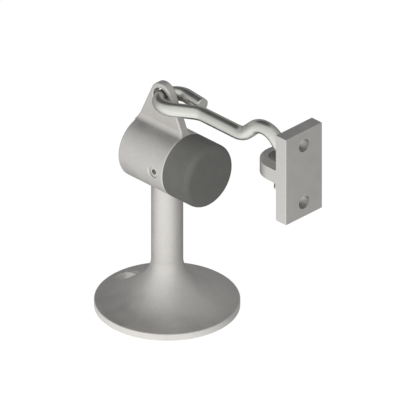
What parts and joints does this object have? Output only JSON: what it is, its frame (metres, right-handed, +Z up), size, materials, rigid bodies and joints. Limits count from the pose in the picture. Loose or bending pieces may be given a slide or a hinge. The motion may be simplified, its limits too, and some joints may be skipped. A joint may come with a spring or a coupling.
{
  "type": "floor door stop with hook",
  "caption": "Floor door stop: flared foot and post, barrel with rubber bumper, and a swinging hook resting in the ear of its strike plate.",
  "frame": {"origin": "centre of the foot on the floor, at the mouth of the anchor thread", "axes": "+Z up the post; -Y the way the bumper faces and the hook reaches; X across the barrel"},
  "size_m": [0.0635, 0.1157, 0.1209],
  "materials": {
    "satin_casting": "satin plated casting, fine grain",
    "satin_plate": "satin plated casting, fine grain",
    "polished_rod": "polished bent rod",
    "bright_screw": "bright zinc plated set screw",
    "bumper_rubber": "matt moulded grey rubber"
  },
  "bodies": {
    "stop": {"stop_body": "satin_casting", "rubber_bumper": "bumper_rubber", "bumper_set_screw": "bright_screw", "strike_plate": "satin_plate"},
    "hook": {"hook": "polished_rod"}
  },
  "joints": [
    {"name": "hook_swing", "type": "hinge", "parent": "stop", "child": "hook", "pos_m": [0, 0.002, 0.1034], "axis": [-1, 0, 0], "range_deg": [0, 209]}
  ]
}
